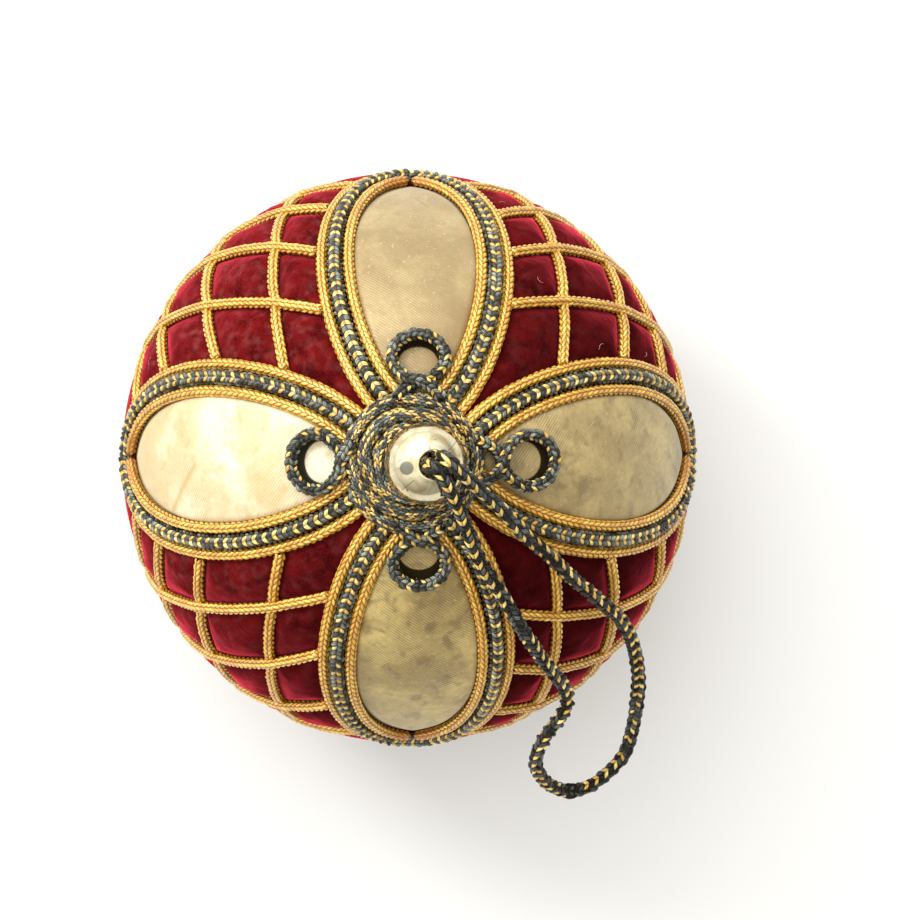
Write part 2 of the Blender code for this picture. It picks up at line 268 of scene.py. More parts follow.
def finish_gold(name, ends=()):
    """Gold cord with painted shade in its grooves, and painted brown shade and a dark painted shadow where
    its two ends meet.
    """
    finish, tree, shader = new_finish(name, Roughness=0.26, Metallic=0.38, Specular_IOR_Level=0.8,
                                      Specular_Tint=(1.0, 0.92, 0.68, 1), Coat_Roughness=0.24,
                                      Coat_Tint=(1.0, 0.95, 0.82, 1))
    uv = piece_uv(tree)
    stitch = use(tree, braid_group, {"Spot": uv, "Stagger": 0.5, "Threads": 3})
    crown = mixed(tree, stitch["Chance"], (0.62, 0.31, 0.028, 1), (0.94, 0.61, 0.100, 1))
    silk = mixed(tree, times(tree, stitch["Thread"], 0.25), crown, (0.50, 0.24, 0.04, 1))
    # painted shade: the grooves between stitches are darkened to orange brown
    colour = mixed(tree, times(tree, stitch["Groove"], 0.88), silk, (0.17, 0.055, 0.006, 1))
    spot = object_spot(tree)
    for end in ends:
        apart = vector(tree, "DISTANCE", spot, tuple(end))
        # painted shade: plain brown near the tip, and a painted shadow nearly black where the two ends meet
        painted_tip_shade = eased(tree, apart, 0.0025, 0.0070, 0.80, 0.0)
        painted_join_shadow = eased(tree, apart, 0.0004, 0.0011, 0.90, 0.0)
        colour = mixed(tree, painted_tip_shade, colour, (0.42, 0.165, 0.026, 1))
        colour = mixed(tree, painted_join_shadow, colour, (0.035, 0.009, 0.003, 1))
    relief = calc(tree, "ADD", times(tree, stitch["Thread"], 0.2), stitch["Height"])
    dress(tree, shader, colour, relief, *STITCH_BUMP)
    shine = calc(tree, "SUBTRACT", 1.0, times(tree, stitch["Groove"], 0.9))
    tree.links.new(shine, shader.inputs["Coat Weight"])
    return finish


gold_finish = finish_gold("gold cord")
print("made", gold_finish.name)

# %% [markdown]
# ## Grey and gold braid
# This braid mixes blue-grey rayon with gold thread. Where a pair of neighbouring columns turns gold
# together it makes a small chevron, and every other chevron is grey. The hanging loop is the same
# kind of braid in navy black, with brighter gold.

# %% Braid finishes
def finish_braid(name, greys, golds, gold_share, gold_span, roughness, shine, paired=True, stagger=0.0):
    """Braid of which a share of the stitches is gold over part of its length.

    In a paired one only even stitches turn gold, and every third column stays plain.
    """
    finish, tree, shader = new_finish(name, Roughness=roughness, Specular_IOR_Level=0.16,
                                      Specular_Tint=(1.0, 0.86, 0.66, 1), Coat_Weight=shine,
                                      Coat_Roughness=0.18)
    uv = piece_uv(tree)
    stitch = use(tree, braid_group, {"Spot": uv, "Stagger": stagger, "Threads": 3})
    grey = mixed(tree, calc(tree, "POWER", stitch["Chance"], 2.0), greys[0], greys[1])
    grey = mixed(tree, times(tree, stitch["Thread"], 0.7), grey, greys[0])
    gold = mixed(tree, stitch["Other Chance"], golds[0], golds[1])
    golden = calc(tree, "LESS_THAN", stitch["Other Chance"], gold_share)
    if paired:
        plain = calc(tree, "COMPARE", calc(tree, "FLOORED_MODULO", stitch["Column"], 3.0), 1.0, 0.1)
        even = calc(tree, "LESS_THAN", stitch["Turn"], 0.5)
        golden = times(tree, times(tree, golden, even), calc(tree, "SUBTRACT", 1.0, plain))
    in_span = calc(tree, "LESS_THAN", calc(tree, "ABSOLUTE", stitch["Along"]), gold_span)
    golden = times(tree, golden, in_span)
    colour = mixed(tree, golden, grey, gold)
    # painted shade: the grooves between stitches are darkened nearly to black, less under gold
    depth = calc(tree, "SUBTRACT", 0.92, times(tree, golden, 0.40))
    groove = times(tree, stitch["Groove"], depth)
    colour = mixed(tree, groove, colour, (0.0040, 0.0026, 0.0010, 1))
    relief = calc(tree, "ADD", times(tree, stitch["Thread"], 0.3), stitch["Height"])
    dress(tree, shader, colour, relief, *STITCH_BUMP)
    tree.links.new(times(tree, golden, 0.45), shader.inputs["Metallic"])
    return finish


GREYS = ((0.014, 0.017, 0.014, 1), (0.330, 0.360, 0.300, 1))
NAVIES = ((0.0020, 0.0020, 0.0015, 1), (0.120, 0.140, 0.140, 1))
BLACKS = ((0.004, 0.004, 0.005, 1), (0.02, 0.02, 0.022, 1))
GOLDS = ((0.50, 0.28, 0.040, 1), (0.92, 0.68, 0.22, 1))
PALE_GOLDS = ((0.50, 0.30, 0.06, 1), (0.92, 0.76, 0.38, 1))
BRIGHT_GOLDS = ((0.62, 0.34, 0.05, 1), (1.0, 0.82, 0.32, 1))
grey_finish = finish_braid("grey and gold braid", GREYS, GOLDS, 0.90, 0.72, 0.28, 0.50)
ring_finish = finish_braid("small ring braid", GREYS, GOLDS, 0.70, 0.60, 0.26, 0.25)
wound_finish = finish_braid("wound braid", GREYS, PALE_GOLDS, 0.38, 0.80, 0.28, 0.35, paired=False,
                            stagger=0.5)
dark_finish = finish_braid("navy and gold braid", NAVIES, BRIGHT_GOLDS, 0.84, 0.74, 0.22, 0.08)
thread_finish = finish_braid("black sewing thread", BLACKS, GOLDS, 0.0, 0.5, 0.55, 0.0)
print("made", grey_finish.name, "and", dark_finish.name)

# %% [markdown]
# ## Ways to lay a cord
# The cords follow lines on the ball. A petal has its own two angles: along its middle line from the
# pole, and across it. A line is a run of points, read again at even steps before it carries a cord.

# %% Lines on the ball
def direction(along, across, heading):
    """Unit vectors at two angles, in degrees, of a petal whose middle line heads this way."""
    a, c, h = np.radians(along), np.radians(across), math.radians(heading)
    out, left = np.cos(c) * np.sin(a), np.sin(c)
    return np.stack([out * math.cos(h) - left * math.sin(h), out * math.sin(h) + left * math.cos(h),
                     np.cos(c) * np.cos(a)], axis=-1)


def lengths_along(points):
    """The length of a run up to each of its points."""
    return np.concatenate([[0], np.cumsum(np.linalg.norm(np.diff(points, axis=0), axis=1))])


def read_evenly(points, count):
    """A run read again at this many even steps."""
    lengths = lengths_along(points)
    marks = np.linspace(0, lengths[-1], count)
    return np.stack([np.interp(marks, lengths, points[:, k]) for k in range(3)], axis=1)


def unit(vectors):
    """Vectors brought to length 1."""
    return vectors / np.linalg.norm(vectors, axis=-1, keepdims=True)


def limited(share):
    """A number kept from 0 to 1."""
    return min(max(share, 0), 1)


def away_from(spot, points):
    """The directions from one spot to each point."""
    return unit(points - np.array(spot))


print("helpers for lines ready")

# %% [markdown]
# ## Making a braided cord
# Blender has no braid primitive. A curve with a bevel would give a smooth hose, so the cord starts as
# a flat grid instead, one row of cells for each step along and one column for each step around. Its
# points are then rolled into a tube round the line. The rows go up and down in a zigzag, as the
# stitches do, and each point stands higher in the middle of a stitch than in a groove. The grid brings
# its UV map with it, one unit for a stitch.

# %% Braided tube
PARTS = ("columns", "pitch", "around", "steps", "slant", "stagger", "relief", "lump")
GOLD_WEAVE, GREY_WEAVE, BOSS_WEAVE, RING_WEAVE, DARK_WEAVE, JOIN_WEAVE = [dict(zip(PARTS, w)) for w in (
    # columns round the cord, a stitch's length, mesh cells around and along a stitch, slant and
    # stagger in stitches, depth of the grooves, and the swelling from stitch to stitch
    (6, 0.00098, 3, 4, 0.80, 0.5, 0.26, 0.0),
    (6, 0.00080, 4, 4, 0.65, 0.0, 0.34, 0.03),
    (14, 0.00086, 2, 5, 0.50, 0.5, 0.24, 0.0),
    (6, 0.00085, 4, 5, 0.65, 0.0, 0.34, 0.05),
    (6, 0.00096, 4, 5, 0.80, 0.0, 0.28, 0.08),
    (2, 0.00036, 8, 4, 0.9, 0.5, 0.2, 0.0),
)]
POINTS_A_STITCH = 6
STITCH_RISE = 0.72, 1.15  # the least and the most, so that no two stitches are quite alike
SWAY, SWAY_LENGTH = 0.0022, 0.0055  # a twisted cord's stitches run a little ahead and behind
SAME_SPOT = 1e-7
CORD_OFFSET = 100  # stitches between one cord's UV map and the next one's, so that their colours differ


def at_marks(line, lengths, marks):
    """What a row of values along a line says at these lengths."""
    return np.stack([np.interp(marks, lengths, line[:, k]) for k in range(line.shape[1])], axis=-1)


def close_ends(bm):
    """The open ends of tubes closed, with all faces outward."""
    bmesh.ops.holes_fill(bm, edges=[edge for edge in bm.edges if edge.is_boundary], sides=0)
    bmesh.ops.recalc_face_normals(bm, faces=bm.faces[:])


def roll_tube(run, outward, diameter, weave, twist=0.0, swell=None):
    """A closed braided tube along a run of points; outward gives the side where two columns meet."""
    length = lengths_along(run)[-1]
    stitches = max(round(length / weave["pitch"]), 4)
    pitch = length / stitches
    points = read_evenly(run, stitches * POINTS_A_STITCH + 1)
    tangents = unit(np.gradient(points, axis=0))
    normals = outward(points)
    normals = unit(normals - np.sum(normals * tangents, axis=1, keepdims=True) * tangents)
    beside = np.cross(tangents, normals)
    lengths = lengths_along(points)
    sides, rings = weave["columns"] * weave["around"], stitches * weave["steps"]
    k, j = np.arange(sides + 1) % sides, np.arange(rings + 1)
    column = k // weave["around"]
    across = 2 * (k / weave["around"] - column) - 1
    distance = j[:, None] / weave["steps"] + weave["stagger"] * (column % 2)[None, :]
    uneven = np.random.default_rng(stitches).uniform(*STITCH_RISE, (stitches + 2, weave["columns"]))
    uneven = uneven[np.floor(distance).astype(int), column[None, :]]
    rise = np.sqrt(1 - across ** 2)[None, :] * np.sqrt(1 - (2 * (distance % 1) - 1) ** 2) * uneven
    radius = diameter / 2 * (1 - weave["relief"] * (1 - rise))
    lean = weave["slant"] / 2 * (1 - 2 * (column % 2)) * across
    marks = (j[:, None] / weave["steps"] - lean[None, :]) * pitch
    radius = radius * (1 - weave["lump"] * np.cos(math.pi * (marks / pitch - 0.5)))
    if swell is not None:
        radius = radius * swell(np.clip(marks / length, 0, 1))
    turn = 2 * math.pi * k[None, :] / sides + twist * (marks + SWAY * np.sin(marks / SWAY_LENGTH))
    past = (np.minimum(marks, 0)[..., None] * tangents[0]
            + np.maximum(marks - length, 0)[..., None] * tangents[-1])
    places = (at_marks(points, lengths, marks) + past
              + (radius * np.cos(turn))[..., None] * at_marks(normals, lengths, marks)
              + (radius * np.sin(turn))[..., None] * at_marks(beside, lengths, marks))
    bm = bmesh.new()
    bm.loops.layers.uv.new("UVMap")
    bmesh.ops.create_grid(bm, x_segments=sides, y_segments=rings, size=1, calc_uvs=True)
    for vert, spot in zip(bm.verts, places.reshape(-1, 3)):
        vert.co = spot
    bmesh.ops.remove_doubles(bm, verts=bm.verts[:], dist=SAME_SPOT)
    close_ends(bm)
    return bm, (weave["columns"], stitches), points


made_pieces = []


def finish_piece(name, bm, material, nodes=(), uv_scale=None):
    """The bmesh as a piece of the ornament, standing for its solids and riding with the ball."""
    mesh = bpy.data.meshes.new(name)
    bm.to_mesh(mesh)
    bm.free()
    if uv_scale is not None:
        layer = mesh.uv_layers[0].uv
        values = np.zeros(len(layer) * 2, np.float32)
        layer.foreach_get("vector", values)
        values = values.reshape(-1, 2) * uv_scale + (0, CORD_OFFSET * len(made_pieces))
        layer.foreach_set("vector", values.astype(np.float32).ravel())
    mesh.shade_smooth()
    piece = put_in_scene(name, mesh)
    mesh.materials.append(material)
    if nodes:
        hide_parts(*nodes)
    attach(piece, "root")
    made_pieces.append(name)
    return piece


def braided(name, run, outward, diameter, weave, material, nodes, twist=0.0, swell=None):
    """A braided cord as a finished piece, and the line that it follows."""
    bm, uv_scale, points = roll_tube(run, outward, diameter, weave, twist, swell)
    return finish_piece(name, bm, material, nodes, uv_scale), points


def from_ball(points):
    """The directions from the ball's centre to each point."""
    return away_from(centre, points)


print("braid maker ready")

# %% [markdown]
# ## The hanging loop
# The loop comes up out of the bead's hole, falls over the shoulder of the ball, turns round in the air
# at the height of the ball's middle, and comes back. The photograph shows it from end to end, so its
# length is the real one. Its route repeats the part's own points, smoothed by a cubic through them.

# %% Hanging loop
HANGING_D = 0.0019
HANGING_PUFF = 1.08  # the crowns of the stitches stand out past the diameter
HANGING_ROUTE = np.array((
    # x, y, z from the ball's centre in tenths of a millimetre
    (11, 0, 474), (8, -1, 489), (13, -5, 503), (23, -13, 504), (39, -40, 487),
    (55, -74, 460), (69, -107, 435), (83, -136, 414), (104, -164, 390), (135, -215, 347),
    (157, -247, 314), (180, -277, 278), (201, -302, 243), (208, -327, 215), (199, -350, 197),
    (184, -373, 179), (173, -399, 155), (174, -426, 120), (193, -452, 76), (226, -467, 40),
    (259, -460, 27), (288, -435, 35), (304, -411, 50), (311, -371, 87), (312, -336, 122),
    (311, -301, 158), (303, -267, 195), (291, -235, 230), (272, -208, 266), (250, -190, 295),
    (227, -170, 322), (207, -155, 343), (170, -121, 380), (146, -101, 403), (123, -78, 423),
    (99, -54, 445), (73, -32, 469), (51, -11, 491), (31, 6, 504), (25, 9, 489),
    (20, 6, 474),
)) / 10000


def smooth_run(points, steps):
    """A smooth curve through points: each stretch is a Catmull-Rom cubic."""
    spots = np.array(points, float)
    spots = np.vstack([2 * spots[0] - spots[1], spots, 2 * spots[-1] - spots[-2]])
    t = np.linspace(0, 1, steps, endpoint=False)[:, None]
    parts = [b + 0.5 * t * ((c - a) + t * ((2 * a - 5 * b + 4 * c - d) + t * (3 * b - a - 3 * c + d)))
             for a, b, c, d in zip(spots, spots[1:], spots[2:], spots[3:])]
    return np.vstack(parts + [spots[-2:-1]])


def carried_along(first):
    """A side direction that is carried along a run without turning about it."""
    def outward(points):
        tangents = unit(np.gradient(points, axis=0))
        side = np.array(first, float)
        sides = []
        for tangent in tangents:
            side = unit(side - side.dot(tangent) * tangent)
            sides.append(side)
        return np.array(sides)
    return outward


hanging_line = smooth_run(HANGING_ROUTE, 24) + centre
hanging_loop, hanging_points = braided(
    "braided_hanging_loop", hanging_line, carried_along((-0.6, 0.5, 0.6)), HANGING_D * HANGING_PUFF,
    DARK_WEAVE, dark_finish, ["hanging_loop"], twist=60)

# %% [markdown]
# ## The sewn join
# At the bottom of the loop the two ends of the braid are laid together and bound with dark thread. It
# is a short lump of thread turns round the cord, thicker in the middle.

# %% Sewn join
JOIN_MARK = 0.475
JOIN_HALF = 0.0009
JOIN_D = 0.0023
lengths = lengths_along(hanging_line)
middle = JOIN_MARK * lengths[-1]
near = hanging_line[np.abs(lengths - middle) < JOIN_HALF * 1.2]
sewn_join, _ = braided("sewn_join", near, carried_along((0, 0, 1)), JOIN_D, JOIN_WEAVE, thread_finish,
                       [], swell=lambda t: 0.80 + 0.20 * np.sin(math.pi * t) ** 0.5)
print("sewn join at", [round(float(x), 4) for x in near[len(near) // 2]])

# %% [markdown]
# ## The cords round the petals
# Each petal is edged by a gold cord, a grey and gold braid and another gold cord, laid against each
# other. The middle one follows a teardrop, and the others lie one cord's width in or out from it.
# Their ends run in under the boss.

# %% Petal cords
GOLD_D = 0.0016
BRAID_D = 0.00215
CORD_STEP = 0.00185
GOLD_LEVEL = 0.0395
BRAID_LEVEL = 0.0397
BOSS_X = -0.0008
CORD_END_R = 0.0076
PETAL_ROOT = 8.0
ROUND_TIP = 0.6
PETALS = (
    # name, heading, tip, half width
    ("east", 1.0, 81.0, 16.0),
    ("north", 90.0, 80.4, 15.6),
    ("west", 179.5, 81.0, 16.0),
    ("south", 270.5, 80.4, 15.6),
)
METRES_PER_DEGREE = math.radians(1) * GOLD_LEVEL
PINCH, PINCH_SPAN = 0.75, 0.009
TUCKED_IN = 0.0009
TIP_SUNK, TIP_SPAN = 0.00015, 0.16
POLE_PULL = (0, 0, 1.2)


def petal_outline(tip, half_width, steps_out, count=600):
    """A petal's edge from its left root round the tip to its right root, as two rows of angles."""
    t = np.linspace(0, 1, count + 1)
    wave = np.sin(2 * math.pi * t)
    along = PETAL_ROOT + (tip - PETAL_ROOT) * np.sin(math.pi * t) ** 2
    across = half_width * np.copysign(np.abs(wave) ** (2 * ROUND_TIP), wave)
    middle = np.stack([along, across], axis=1)
    run = unit(middle[2:] - middle[:-2])
    outward = np.stack([-run[:, 1], run[:, 0]], axis=1)
    return middle[1:-1] + steps_out * CORD_STEP / METRES_PER_DEGREE * outward


def outside_boss(points, radius):
    """The points of a run that lie further than this from the boss's axis."""
    return points[np.hypot(points[:, 0] - BOSS_X, points[:, 1]) > radius]


def toward_pole(points):
    """Outward directions that lean toward the pole, as the chevrons of the grey braid do."""
    return unit(from_ball(points) + POLE_PULL)


def pinch(t):
    """The two ends of the inner cord meet at a petal's tip, thinner where they are tucked in."""
    return 1 - PINCH * np.exp(-((t - 0.5) / PINCH_SPAN) ** 2)


tip_spots = []
for name, heading, tip, half_width in PETALS:
    angles = petal_outline(tip, half_width, -1)
    at_tip = angles[len(angles) // 2]
    tip_spots.append(GOLD_LEVEL * direction(at_tip[:1], at_tip[1:], heading)[0] + centre)
ended_gold_finish = finish_gold("gold cord with ends", tip_spots)
PETAL_CORDS = (
    # name, steps out from the middle one, diameter, level, weave, finish and material slot
    ("inner_gold", -1, GOLD_D, GOLD_LEVEL, GOLD_WEAVE, ended_gold_finish, "gold_cord"),
    ("grey_braid", 0, BRAID_D, BRAID_LEVEL, GREY_WEAVE, grey_finish, "grey_braid"),
    ("outer_gold", 1, GOLD_D, GOLD_LEVEL, GOLD_WEAVE, gold_finish, "gold_cord"),
)
cord_lines = []
inner_lines = []
outer_edges = []
for name, heading, tip, half_width in PETALS:
    for cord_name, steps_out, diameter, level, weave, material, slot in PETAL_CORDS:
        angles = petal_outline(tip, half_width, steps_out)
        line = outside_boss(level * direction(angles[:, 0], angles[:, 1], heading), CORD_END_R) + centre
        if cord_name == "outer_gold":
            outer_edges.append(line)
        if cord_name == "inner_gold":
            t = np.linspace(0, 1, len(line))
            sunk = TUCKED_IN * (1 - pinch(t)) + TIP_SUNK * np.exp(-((t - 0.5) / TIP_SPAN) ** 4)
            line = line - from_ball(line) * sunk[:, None]
        _, points = braided(f"braided_{name}_{cord_name}", line,
                            toward_pole if cord_name == "grey_braid" else from_ball, diameter, weave,
                            material, [f"{name}_{cord_name}"],
                            swell=pinch if cord_name == "inner_gold" else None)
        cord_lines.append(points)
        if cord_name == "inner_gold":
            inner_lines.append(points)
cord_metres = sum(lengths_along(p)[-1] for p in cord_lines)
print("petal cords:", len(cord_lines), "in all", round(cord_metres, 3), "m")

# %% [markdown]
# ## The crossing cords
# Between the petals the gold cords cross each other. Each goes round the tip of a petal as a long
# festoon: up both sides on a great circle, and round below where the photograph doesn't show it. Those
# of the east and west petals were laid last, so they hop over the others.

# %% Crossing cords
FESTOON_DEPTHS = (24.0, 34.0, 44.0, 54.0)
LAST_SIDES = ((65.6, 64.6), (65.6, 64.6))
FESTOONS = {
    # petal: for its first three cords the left and the right side, each as the azimuth at the equator
    # and the angle from the pole on the next petal's middle line
    "east": (((20.9, 27.1), (20.8, 25.6)), ((37.0, 36.0), (34.3, 37.1)), ((54.3, 43.5), (48.3, 52.4))),
    "north": (((21.3, 20.7), (20.5, 24.2)), ((38.8, 30.6), (35.5, 37.2)), ((54.5, 43.8), (44.7, 54.7))),
    "west": (((24.2, 20.3), (23.5, 24.6)), ((38.4, 29.5), (37.6, 35.6)), ((53.0, 44.5), (49.1, 51.7))),
    "south": (((20.6, 22.0), (22.2, 21.4)), ((35.5, 32.4), (35.1, 38.9)), ((51.2, 50.0), (52.4, 50.5))),
}
HEADINGS = {"east": 0, "north": 90, "west": 180, "south": 270}
HOP = 0.00012
DIP = 0.00038
RUN_POINTS = 900
HOP_REACH = 0.0030
TUCK = 0.0008


def festoon_side(azimuth, from_pole, depth):
    """One side of a crossing cord from its bottom up and over, as rows of azimuth and latitude."""
    steep = math.tan(math.radians(90 - from_pole)) / math.cos(math.radians(azimuth))
    plain_depth = azimuth * steep / 2
    t = np.linspace(0, 1, 200)
    low = -plain_depth * (1 - t * t) - (depth - plain_depth) * (1 - t * t) ** 2
    past = np.linspace(0, 70, 281)[1:]
    high = np.degrees(np.arctan(steep * np.sin(np.radians(past))))
    return np.stack([np.concatenate([azimuth * t, azimuth + past]), np.concatenate([low, high])], axis=1)


def festoon(heading, left, right, depth):
    """One crossing cord's line, from over the pole side round below the petal and up again."""
    there, here = festoon_side(*right, depth)[:0:-1] * (-1, 1), festoon_side(*left, depth)
    way = np.vstack([there, here])
    azimuth, latitude = np.radians(heading + way[:, 0]), np.radians(way[:, 1])
    flat = np.cos(latitude)
    return GOLD_LEVEL * np.stack([flat * np.cos(azimuth), flat * np.sin(azimuth), np.sin(latitude)], 1)


def spot_tree(points):
    """A search tree of points."""
    tree = KDTree(len(points))
    for i, point in enumerate(points):
        tree.insert(point, i)
    tree.balance()
    return tree


edge_tree = spot_tree(np.vstack(outer_edges))
crossing = {}
for name, sides in FESTOONS.items():
    for number, (left, right) in enumerate(sides + (LAST_SIDES,), start=1):
        line = festoon(HEADINGS[name], left, right, FESTOON_DEPTHS[number - 1])
        run = read_evenly(line, RUN_POINTS) + centre
        blocked = [edge_tree.find(p)[2] < TUCK for p in run]
        half = len(run) // 2
        first = max((i for i in range(half) if blocked[i]), default=0)
        last = min((i for i in range(half, len(run)) if blocked[i]), default=len(run) - 1)
        crossing[name, number] = run[first:last + 1]
over = {key: run for key, run in crossing.items() if key[0] in ("east", "west")}
under = {key: run for key, run in crossing.items() if key not in over}
for family, others, height in ((over, under, HOP), (under, over, -DIP)):
    other_tree = spot_tree(np.vstack(list(others.values())))
    for (name, number), run in family.items():
        near = np.array([other_tree.find(p)[2] for p in run])
        rise = height * np.cos(math.pi / 2 * np.clip(near / HOP_REACH, 0, 1)) ** 2
        _, points = braided(f"braided_{name}_festoon_{number}", run + from_ball(run) * rise[:, None],
                            from_ball, GOLD_D, GOLD_WEAVE, gold_finish, [f"{name}_festoon_{number}"],
                            twist=-15)
        cord_lines.append(points)
cord_metres = sum(lengths_along(p)[-1] for p in cord_lines)
print("cords so far:", len(cord_lines), "in all", round(cord_metres, 3), "m")

# %% [markdown]
# ## The boss
# On the pole the grey and gold braid is wound into a flat spiral of three rounds that rise toward the
# bead. It is one long cord, so the spiral is one run of points, a little uneven as hand work is.

# %% Boss
BOSS_ROUNDS = ((8.25, 39.15), (6.3, 39.95), (4.35, 40.35), (3.2, 40.4))
BOSS_TURNS = 3.2
ROUND_TURNS = (0.0, 0.93, 1.12, 1.93, 2.12, BOSS_TURNS)
ROUND_STEPS = (8.25, 8.25, 6.35, 6.35, 4.45, 4.35)
turns = np.linspace(0, BOSS_TURNS, 900)
spiral_r = np.interp(turns, ROUND_TURNS, ROUND_STEPS)
spiral_z = np.interp(-spiral_r, [-r for r, z in BOSS_ROUNDS], [z for r, z in BOSS_ROUNDS])
spiral_a = 2 * math.pi * turns + math.radians(200)
spiral_r = spiral_r + 0.10 * np.sin(3 * spiral_a + 1.0) + 0.06 * np.sin(7 * spiral_a)
spiral_z = spiral_z + 0.08 * np.sin(4 * spiral_a + 2.0) - 0.9 * np.clip(1 - turns / 0.09, 0, 1) ** 2
boss_line = np.stack([spiral_r * np.cos(spiral_a) + BOSS_X * 1000, spiral_r * np.sin(spiral_a),
                      spiral_z], axis=1) / 1000 + centre
_, boss_points = braided("spiral_boss", boss_line, lambda p: away_from(centre * (1, 1, 0.6), p), BRAID_D,
                         BOSS_WEAVE, wound_finish, ["wound_boss"], twist=90)
print("boss spiral:", round(lengths_along(boss_points)[-1], 3), "m")

# %% [markdown]
# ## The small rings
# On the inner end of each petal lies a small ring of the same braid. It comes out of the boss, goes
# round, crosses over itself and goes back in.

# %% Small rings
LOOP_LEVEL = 0.0408
BOSS_SIDE = 0.0084
RING_D = 0.00182
RING_LIFT = 0.40  # millimetres that a ring's far side stands off the satin
RINGS = {
    # petal: the ring's middle from the pole, and its half length along and across the petal
    "east": (0.0149, 0.00340, 0.00340),
    "north": (0.0141, 0.00295, 0.00350),
    "west": (0.0137, 0.00315, 0.00370),
    "south": (0.0134, 0.00290, 0.00345),
}
for name, heading, tip, half_width in PETALS:
    far, long, wide = RINGS[name]
    rim = BOSS_SIDE + BOSS_X * math.cos(math.radians(heading))
    half_turn = [(far + long * math.cos(turn), wide * math.sin(turn), RING_LIFT * max(math.cos(turn), 0))
                 for turn in np.radians((15, 45, 75, 105, 130))]
    leg = [(far - 1.02 * long, 0.42 * wide, 0.30), (far - 1.15 * long, 0.0, 0.50),
           (far - 1.45 * long, -0.50 * wide, 0.30), (min(rim, far - 1.6 * long), -0.85 * wide, 0.0)]
    after = half_turn + leg
    before = [(out, -left, lift if out > far else -0.6 * lift) for out, left, lift in reversed(after)]
    flat = smooth_run(before + after, 10)
    level = LOOP_LEVEL + 0.001 * flat[:, 2]
    angles = np.degrees(flat[:, :2] / LOOP_LEVEL)
    line = level[:, None] * direction(angles[:, 0], angles[:, 1], heading)
    line = outside_boss(line, BOSS_SIDE) + centre
    braided(f"braided_{name}_small_loop", line, from_ball, RING_D, RING_WEAVE, ring_finish,
            [f"{name}_small_loop"], twist=70)
print("small rings:", len(RINGS))

# %% [markdown]
# ## The velvet ball
# The velvet is stretched over padding, so it swells between the cords and sinks where they press on
# it. The ball starts as a fine sphere whose points are then set by their distance from the nearest
# cord, and it is flattened where it rests. The pile itself is far finer than any mesh, and the
# material gives it: deep red that looks almost black where the pile faces the eye, a bright sheen
# where it is seen from the side, and pale dust. The dust is laid thicker on the lit side as painted
# light, and painted shade darkens the side away from the light.

# %% Velvet ball
PILE_LOW = 0.03880
PILE_HIGH = 0.04000
UNDER_SATIN = 0.03835
PRESSED, SWELL_REACH = 0.0006, 0.0032  # the pile starts to swell this far from a cord, over this width
PILE_UNEVEN = 0.00003
FLOOR_GAP = 0.00002


def under_a_petal(out):
    """Whether this direction from the ball's centre passes through a petal's cloth."""
    for name, heading, tip, half_width in PETALS:
        turn = math.radians(heading)
        ahead = out.x * math.cos(turn) + out.y * math.sin(turn)
        across = math.degrees(math.asin(out.y * math.cos(turn) - out.x * math.sin(turn)))
        share = (math.degrees(math.atan2(ahead, out.z)) - PETAL_ROOT) / (tip - PETAL_ROOT)
        if 0 < share < 1 and abs(across) < half_width * (4 * share * (1 - share)) ** ROUND_TIP:
            return True
    return False


cord_tree = spot_tree(np.vstack([p[::2] for p in cord_lines]))
bm = bmesh.new()
bmesh.ops.create_icosphere(bm, subdivisions=7, radius=1)
rng = random.Random(11)
for vert in bm.verts:
    out = vert.co.normalized()
    gap = cord_tree.find(Vector(centre) + GOLD_LEVEL * out)[2]
    ease = limited((gap - PRESSED) / SWELL_REACH)
    radius = PILE_LOW + (PILE_HIGH - PILE_LOW) * ease * (2 - ease)
    radius += rng.uniform(-PILE_UNEVEN, PILE_UNEVEN)
    if under_a_petal(out) or math.degrees(out.angle((0, 0, 1))) < PETAL_ROOT:
        radius = UNDER_SATIN
    spot = radius * out
    spot.z = max(spot.z, FLOOR_GAP - REST_HEIGHT)
    vert.co = spot + Vector(centre)
print("velvet ball:", len(bm.faces), "faces")


def finish_velvet():
    """Crimson pile with crushed patches and dust, the dust thicker on the lit side as painted light, and
    painted shade toward the side away from the light.
    """
    finish, tree, shader = new_finish("crimson velvet", Roughness=0.95, Sheen_Weight=1.0,
                                      Sheen_Roughness=0.32, Sheen_Tint=(1.0, 0.070, 0.120, 1),
                                      Specular_IOR_Level=0.02)
    spot = object_spot(tree)
    patches = eased(tree, speckle(tree, spot, 0.0040, 2.0), 0.40, 0.62)
    nap = eased(tree, speckle(tree, spot, 0.0016, 3.0), 0.38, 0.64)
    grain = speckle(tree, spot, 0.00028, 2.0)
    dust = eased(tree, speckle(tree, spot, 0.0015, 8.0), 0.42, 0.85)
    pile = mixed(tree, patches, (0.032, 0.0014, 0.0017, 1), (0.072, 0.0026, 0.0030, 1))
    pile = mixed(tree, times(tree, nap, 0.5), pile, (0.140, 0.0060, 0.0070, 1))
    pile = mixed(tree, eased(tree, grain, 0.35, 0.8, 0.0, 0.5), pile, (0.17, 0.006, 0.006, 1))
    # how far a spot lies toward the side away from the light, for the painted light and shade below
    toward_shaded_side = vector(tree, "DOT_PRODUCT", spot, (0.85, -0.52, 0))
    # real dust, laid thicker on the lit side as painted light
    dust_with_painted_light = eased(tree, toward_shaded_side, -0.030, 0.025, 0.26, 0.05)
    colour = mixed(tree, times(tree, dust, dust_with_painted_light), pile, (0.30, 0.10, 0.10, 1))
    # painted shade: the side away from the light is darkened nearly to black
    colour = mixed(tree, eased(tree, toward_shaded_side, -0.035, 0.030, 0.0, 0.72), colour, (0.004, 0.0005, 0.0005, 1))
    crush = calc(tree, "ADD", times(tree, nap, 0.3), times(tree, patches, 1.5))
    dress(tree, shader, colour, calc(tree, "ADD", grain, crush), 0.4, 0.00012)
    return finish


velvet = finish_piece("velvet_pile", bm, finish_velvet(), ["velvet_ball"])
